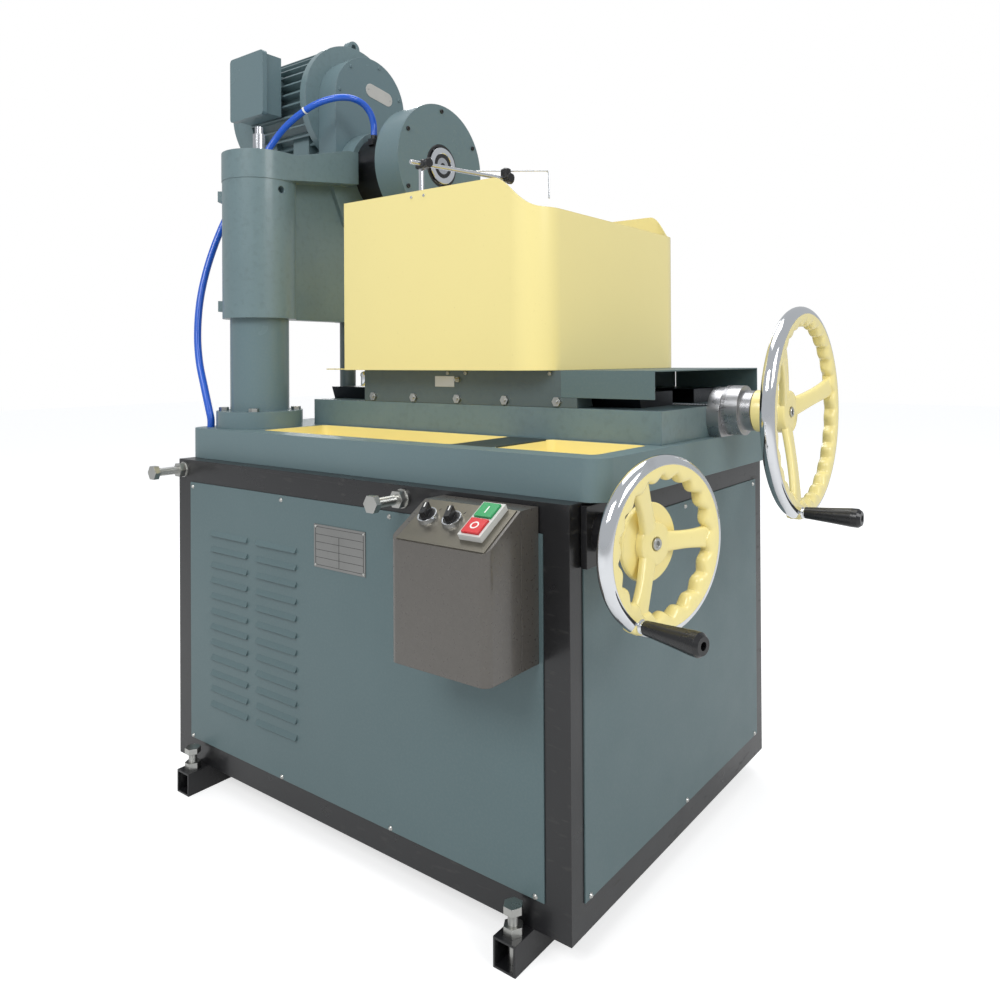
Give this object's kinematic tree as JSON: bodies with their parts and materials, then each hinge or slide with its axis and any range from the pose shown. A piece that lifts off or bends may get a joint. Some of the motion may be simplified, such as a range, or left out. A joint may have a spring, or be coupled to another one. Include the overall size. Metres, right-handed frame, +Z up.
{
  "type": "brake disc grinding machine",
  "caption": "Floor-standing grinder with a sliding turntable for brake discs and a belt-driven wheel head that a handwheel raises on a column.",
  "frame": {"origin": "floor level under the middle of the cabinet's footprint", "axes": "+X along the cabinet to its handwheel end, +Y from the operator's side to the back, +Z up"},
  "size_m": [1.4115, 0.812, 1.531],
  "materials": {
    "cabinet_frame": "gloss black paint",
    "front_panel": "blue-grey hammered paint",
    "right_panel": "blue-grey hammered paint",
    "left_panel": "blue-grey hammered paint",
    "back_panel": "blue-grey hammered paint",
    "skid_rails": "black paint",
    "frame_bolts": "bright plated",
    "panel_screws": "bright plated",
    "name_plate": "bare brushed plate",
    "control_box": "dark grey enamel",
    "control_plate": "brushed stainless",
    "selector_bezels": "polished bezel",
    "switch_housing": "white plastic",
    "tray_table": "blue-grey painted casting",
    "column": "blue-grey painted casting",
    "slide_base": "blue-grey painted casting",
    "dovetail_ways": "oiled machined iron",
    "screw_flange": "turned steel",
    "shaft_bearing": "black painted casting",
    "coolant_tank": "grey sheet steel",
    "coolant_pump": "grey pump with steel pipe",
    "selector_left": "black knob",
    "selector_right": "black knob",
    "start_button": "green plastic",
    "stop_button": "red plastic",
    "lift_handwheel": "cream paint with a polished rim",
    "lift_shaft": "ground steel",
    "lift_dial": "turned dial collar",
    "lift_grip": "black moulded grip",
    "transfer_shaft": "ground steel",
    "elevating_screw": "ground steel",
    "head_casting": "blue-grey painted casting",
    "guide_rod": "dark painted guide bar",
    "elevating_nut": "bronze",
    "motor_body": "blue-grey painted casting",
    "terminal_box": "blue-grey painted casting",
    "belt_guard": "blue-grey painted sheet",
    "spindle_housing": "black paint",
    "wheel_guard": "blue-grey painted casting",
    "wheel_cover": "blue-grey painted plate",
    "coolant_fitting": "blackened fitting",
    "coolant_hose": "glossy blue hose",
    "drive_belt": "black rubber belt",
    "motor_rotor": "steel rotor and pulley",
    "wheel_spindle": "ground steel spindle and pulley",
    "grinding_wheel": "bonded abrasive",
    "carriage": "blue-grey painted casting",
    "gib_strip": "ground strip",
    "gib_screws": "steel screws and nuts",
    "way_cover": "blue-grey painted sheet",
    "splash_guard": "cream painted sheet",
    "lead_nut": "bronze",
    "chuck_drive": "blue-grey painted casting",
    "gauge_post": "polished post",
    "lead_screw": "bright steel",
    "cross_handwheel": "cream paint with a polished rim",
    "cross_dial": "satin dial",
    "cross_grip": "black moulded grip",
    "gauge_arm": "polished rod with black clamps",
    "work_chuck": "ground steel"
  },
  "bodies": {
    "base": {"cabinet_frame": "cabinet_frame", "front_panel": "front_panel", "right_panel": "right_panel", "left_panel": "left_panel", "back_panel": "back_panel", "skid_rails": "skid_rails", "frame_bolts": "frame_bolts", "panel_screws": "panel_screws", "name_plate": "name_plate", "control_box": "control_box", "control_plate": "control_plate", "selector_bezels": "selector_bezels", "switch_housing": "switch_housing", "tray_table": "tray_table", "column": "column", "slide_base": "slide_base", "dovetail_ways": "dovetail_ways", "screw_flange": "screw_flange", "shaft_bearing": "shaft_bearing", "coolant_tank": "coolant_tank", "coolant_pump": "coolant_pump"},
    "selector_1": {"selector_left": "selector_left"},
    "selector_2": {"selector_right": "selector_right"},
    "button_start": {"start_button": "start_button"},
    "button_stop": {"stop_button": "stop_button"},
    "lift_wheel": {"lift_handwheel": "lift_handwheel", "lift_shaft": "lift_shaft", "lift_dial": "lift_dial"},
    "lift_handle": {"lift_grip": "lift_grip"},
    "cross_shaft": {"transfer_shaft": "transfer_shaft"},
    "lift_screw": {"elevating_screw": "elevating_screw"},
    "head": {"head_casting": "head_casting", "guide_rod": "guide_rod", "elevating_nut": "elevating_nut", "motor_body": "motor_body", "terminal_box": "terminal_box", "belt_guard": "belt_guard", "spindle_housing": "spindle_housing", "wheel_guard": "wheel_guard", "wheel_cover": "wheel_cover", "coolant_fitting": "coolant_fitting", "coolant_hose": "coolant_hose", "drive_belt": "drive_belt"},
    "rotor": {"motor_rotor": "motor_rotor"},
    "spindle": {"wheel_spindle": "wheel_spindle", "grinding_wheel": "grinding_wheel"},
    "carriage": {"carriage": "carriage", "gib_strip": "gib_strip", "gib_screws": "gib_screws", "way_cover": "way_cover", "splash_guard": "splash_guard", "lead_nut": "lead_nut", "chuck_drive": "chuck_drive", "gauge_post": "gauge_post"},
    "feed_screw": {"lead_screw": "lead_screw", "cross_handwheel": "cross_handwheel", "cross_dial": "cross_dial"},
    "cross_handle": {"cross_grip": "cross_grip"},
    "gauge": {"gauge_arm": "gauge_arm"},
    "chuck": {"work_chuck": "work_chuck"}
  },
  "joints": [
    {"name": "lift_wheel_turn", "type": "hinge", "parent": "base", "child": "lift_wheel", "pos_m": [0.558, -0.293, 0.557], "axis": [0.9755, -0.2198, 0], "range_deg": [-8100, 4500]},
    {"name": "transfer_turn", "type": "hinge", "parent": "base", "child": "cross_shaft", "pos_m": [-0.372, -0.203, 0.557], "axis": [0.9981, -0.0623, 0], "range_deg": [-8100, 4500]},
    {"name": "lift_screw_turn", "type": "hinge", "parent": "base", "child": "lift_screw", "pos_m": [-0.372, -0.203, 0.9], "axis": [0, 0, 1], "range_deg": [-4500, 8100]},
    {"name": "head_lift", "type": "slide", "parent": "base", "child": "head", "axis": [0, 0, 1], "range_m": [-0.09, 0.05], "deforming": ["coolant_hose"]},
    {"name": "spindle_spin", "type": "hinge", "parent": "head", "child": "spindle", "pos_m": [-0.2, 0.102, 1.2], "axis": [1, 0, 0], "continuous": true},
    {"name": "motor_spin", "type": "hinge", "parent": "head", "child": "rotor", "pos_m": [-0.5, 0.102, 1.372], "axis": [1, 0, 0], "continuous": true},
    {"name": "feed_wheel_turn", "type": "hinge", "parent": "base", "child": "feed_screw", "pos_m": [0.603, 0.102, 0.7], "axis": [1, 0, 0], "range_deg": [-4320, 7920]},
    {"name": "carriage_slide", "type": "slide", "parent": "base", "child": "carriage", "axis": [1, 0, 0], "range_m": [-0.11, 0.06]},
    {"name": "chuck_spin", "type": "hinge", "parent": "carriage", "child": "chuck", "pos_m": [0.022, 0.102, 0.9], "axis": [0, 0, 1], "continuous": true},
    {"name": "gauge_swivel", "type": "hinge", "parent": "carriage", "child": "gauge", "pos_m": [0.01, -0.14, 1.13], "axis": [0, 0, 1], "range_deg": [-25, 25]},
    {"name": "lift_grip_spin", "type": "hinge", "parent": "lift_wheel", "child": "lift_handle", "pos_m": [0.54701, -0.34178, 0.4704], "axis": [0.9755, -0.2198, 0], "continuous": true},
    {"name": "cross_grip_spin", "type": "hinge", "parent": "feed_screw", "child": "cross_handle", "pos_m": [0.603, 0.06162, 0.54932], "axis": [1, 0, 0], "continuous": true},
    {"name": "selector_left_turn", "type": "hinge", "parent": "base", "child": "selector_1", "pos_m": [0.27, -0.40099, 0.57538], "axis": [0, -0.5299, 0.848], "range_deg": [-90, 0]},
    {"name": "selector_right_turn", "type": "hinge", "parent": "base", "child": "selector_2", "pos_m": [0.313, -0.40099, 0.57538], "axis": [0, -0.5299, 0.848], "range_deg": [-90, 0]},
    {"name": "start_press", "type": "slide", "parent": "base", "child": "button_start", "axis": [0, 0.5299, -0.848], "range_m": [0, 0.003], "stiffness_N_per_m": 800, "springref_m": -0.002},
    {"name": "stop_press", "type": "slide", "parent": "base", "child": "button_stop", "axis": [0, 0.5299, -0.848], "range_m": [0, 0.003], "stiffness_N_per_m": 800, "springref_m": -0.002}
  ],
  "couplings": [
    {"joint": "transfer_turn", "follows": "lift_wheel_turn", "ratio": 1},
    {"joint": "lift_screw_turn", "follows": "lift_wheel_turn", "ratio": -1},
    {"joint": "head_lift", "follows": "lift_wheel_turn", "m_per_rad": 0.00063662},
    {"joint": "carriage_slide", "follows": "feed_wheel_turn", "m_per_rad": -0.00079577},
    {"joint": "motor_spin", "follows": "spindle_spin", "ratio": 1}
  ]
}
